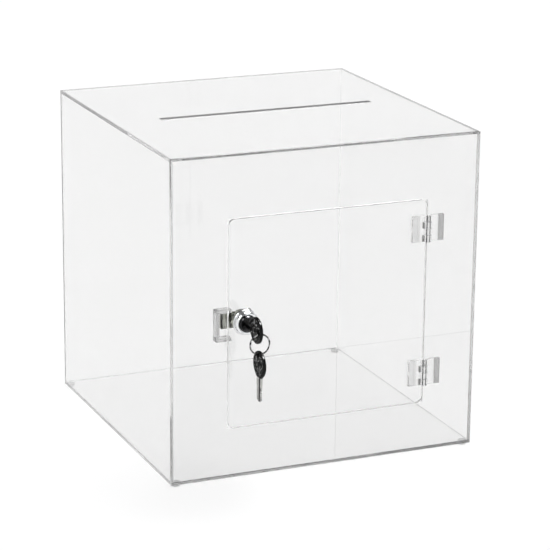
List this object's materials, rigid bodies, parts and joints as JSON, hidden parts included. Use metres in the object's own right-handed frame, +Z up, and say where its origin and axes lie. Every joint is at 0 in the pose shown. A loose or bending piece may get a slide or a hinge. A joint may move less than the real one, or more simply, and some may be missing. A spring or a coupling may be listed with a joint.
{
  "type": "donation box",
  "caption": "Clear acrylic cube donation box with a long slot in its top and a hinged, locked door in its front, with keys on a split ring.",
  "frame": {"origin": "on the surface that the four feet stand on, under the middle of the box's footprint, which is the mount table_rest", "axes": "+X to the right as seen from the door side, +Y from the door to the back, +Z up"},
  "size_m": [0.305, 0.3517, 0.3073],
  "materials": {
    "clear_acrylic": "clear cast acrylic, polished faces, diamond-cut edges",
    "clear_hinge": "clear moulded acrylic",
    "hinge_pin": "clear moulded rod",
    "clear_bumper": "clear soft bumper",
    "chrome": "bright chrome on a die casting",
    "lock_plug": "black plated die casting",
    "zinc_plate": "dark zinc-plated steel, streaked",
    "wafer_brass": "plain brass",
    "spring_steel": "spring wire",
    "key_nickel": "nickel-plated brass",
    "ring_nickel": "dark bright spring steel",
    "bow_black": "black moulded plastic with a soft gloss"
  },
  "bodies": {
    "box": {"front_panel": "clear_acrylic", "rear_panel": "clear_acrylic", "left_panel": "clear_acrylic", "right_panel": "clear_acrylic", "top_panel": "clear_acrylic", "base_panel": "clear_acrylic", "foot_front_left": "clear_bumper", "foot_front_right": "clear_bumper", "foot_rear_left": "clear_bumper", "foot_rear_right": "clear_bumper", "lock_keeper": "clear_acrylic", "upper_hinge_frame_leaf": "clear_hinge", "upper_hinge_pin": "hinge_pin", "lower_hinge_frame_leaf": "clear_hinge", "lower_hinge_pin": "hinge_pin"},
    "door": {"door": "clear_acrylic", "upper_hinge_door_leaf": "clear_hinge", "lower_hinge_door_leaf": "clear_hinge", "lock_housing": "chrome", "lock_nut": "zinc_plate"},
    "lock_cylinder": {"lock_plug": "lock_plug", "lock_wafers": "wafer_brass", "wafer_springs": "spring_steel", "stop_washer": "zinc_plate", "lock_cam": "zinc_plate", "cam_washer": "zinc_plate", "cam_screw": "zinc_plate"},
    "key": {"lock_key_blade": "key_nickel", "lock_key_bow": "bow_black"},
    "ring": {"key_ring": "ring_nickel"},
    "spare_key": {"spare_key_blade": "key_nickel", "spare_key_bow": "bow_black"}
  },
  "joints": [
    {"name": "door_swing", "type": "hinge", "parent": "box", "child": "door", "pos_m": [0.09995, -0.1558, 0.1548], "axis": [0, 0, 1], "range_deg": [0, 180]},
    {"name": "lock_turn", "type": "hinge", "parent": "door", "child": "lock_cylinder", "pos_m": [-0.081, -0.1525, 0.1505], "axis": [0, 1, 0], "range_deg": [0, 90]},
    {"name": "key_slide", "type": "slide", "parent": "lock_cylinder", "child": "key", "axis": [0, -1, 0], "range_m": [0, 0.018]},
    {"name": "ring_swing", "type": "hinge", "parent": "key", "child": "ring", "pos_m": [-0.081, -0.1869, 0.1489], "axis": [-1, 0, 0], "range_deg": [-15, 120]},
    {"name": "spare_key_swing", "type": "hinge", "parent": "ring", "child": "spare_key", "pos_m": [-0.081, -0.1869, 0.1303], "axis": [-1, 0, 0], "range_deg": [-15, 75]}
  ]
}
